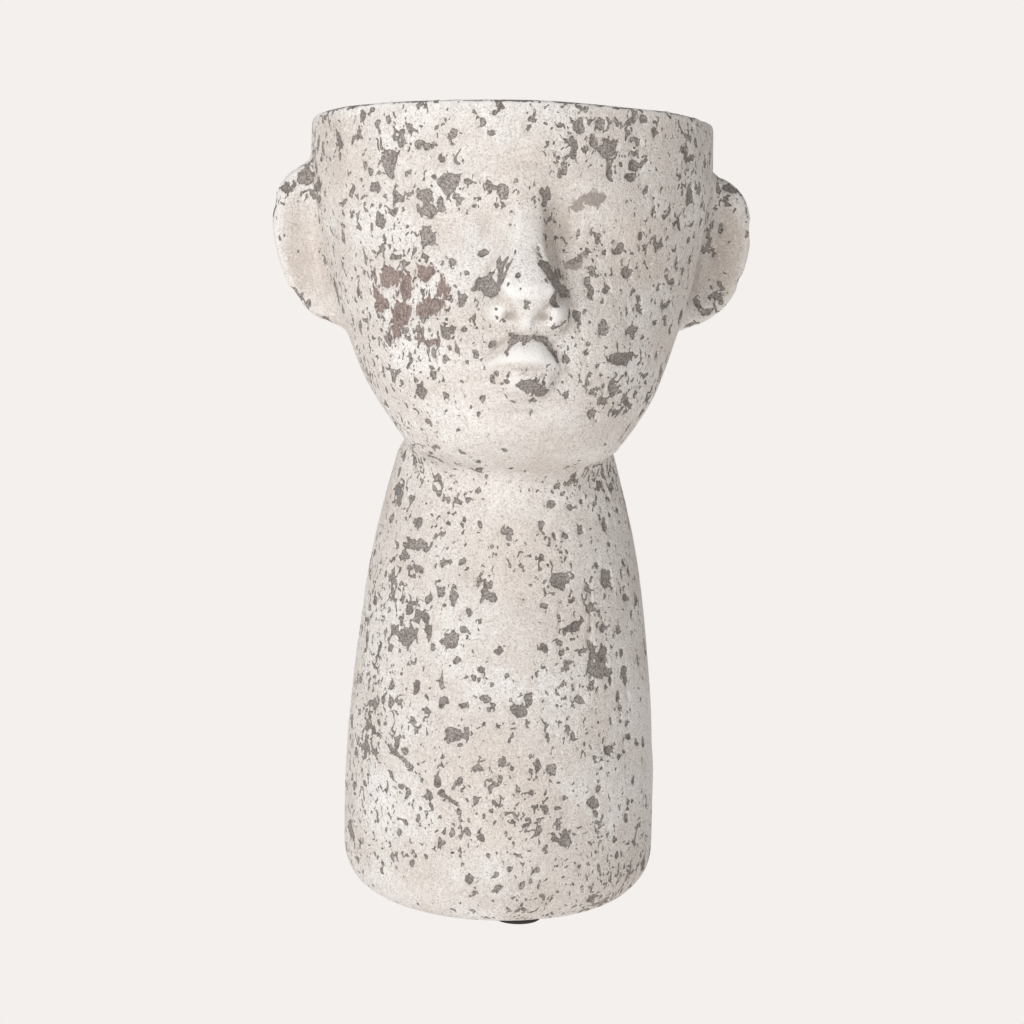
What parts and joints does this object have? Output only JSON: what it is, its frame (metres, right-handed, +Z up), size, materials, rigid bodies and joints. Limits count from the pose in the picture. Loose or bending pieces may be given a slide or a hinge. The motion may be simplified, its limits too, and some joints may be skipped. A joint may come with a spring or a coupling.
{
  "type": "head planter",
  "caption": "Planter cast as a head on a long flared neck, with an open planting bowl in the crown, ears, a drain hole with a pull-out plug, and stick-on feet.",
  "frame": {"origin": "on the ground, under the middle of the planter's overall width and depth; the neck's axis stands 13 mm behind it", "axes": "+Z up, the face looks along -Y, the ears lie along X"},
  "size_m": [0.246, 0.2284, 0.4],
  "materials": {
    "limewashed_cement": "cast cement, pitted, limewashed, matte",
    "plug_rubber": "moulded, matte",
    "foam_tape": "closed-cell foam, matte",
    "pad_rubber": "die-cut sheet, matte"
  },
  "bodies": {
    "planter": {"cast_body": "limewashed_cement", "foot_tape_front": "foam_tape", "foot_tape_right": "foam_tape", "foot_tape_back": "foam_tape", "foot_tape_left": "foam_tape", "foot_pad_front": "pad_rubber", "foot_pad_right": "pad_rubber", "foot_pad_back": "pad_rubber", "foot_pad_left": "pad_rubber"},
    "plug": {"drain_plug": "plug_rubber"}
  },
  "joints": [
    {"name": "plug_pull", "type": "slide", "parent": "planter", "child": "plug", "axis": [0, 0, -1], "range_m": [0, 0.025]}
  ]
}
